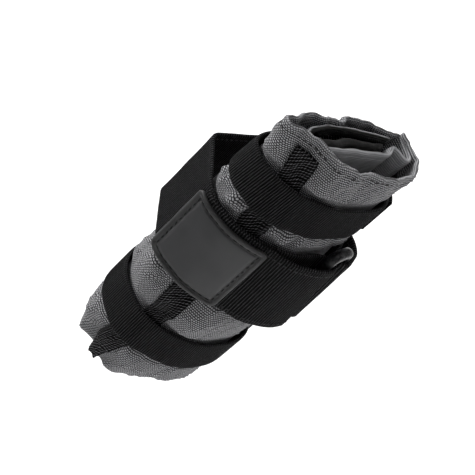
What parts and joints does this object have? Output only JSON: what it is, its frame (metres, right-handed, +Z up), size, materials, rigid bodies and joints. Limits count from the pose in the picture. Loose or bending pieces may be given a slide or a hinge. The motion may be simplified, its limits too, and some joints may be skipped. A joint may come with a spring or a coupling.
{
  "type": "bicycle tool roll bag",
  "caption": "Fabric tool roll strapped under a bicycle saddle, with cinch straps, a webbing spine, a wide saddle band through a ring, and a rubber patch.",
  "frame": {"origin": "midway between the two saddle rails, on the inner face of the band where it bridges them", "axes": "+X towards the rear of the bicycle, +Y to its right, +Z up; the roll runs along X, its rear end raised by 31.4 degrees"},
  "size_m": [0.1591, 0.0752, 0.1151],
  "materials": {
    "grey_fabric": "woven, two-tone black and light grey, matt",
    "black_webbing": "ribbed webbing, matt",
    "dark_lining": "smooth coated cloth, faint sheen",
    "black_plastic": "moulded, glossy",
    "black_rubber": "moulded, satin"
  },
  "bodies": {
    "root": {"roll_panel": "grey_fabric", "pocket_panel": "black_webbing", "pocket_binding": "black_webbing", "inner_flap": "dark_lining", "spine_webbing": "black_webbing", "front_strap": "black_webbing", "rear_strap": "black_webbing", "saddle_band": "black_webbing", "band_ring": "black_plastic", "rubber_patch": "black_rubber"}
  },
  "joints": []
}
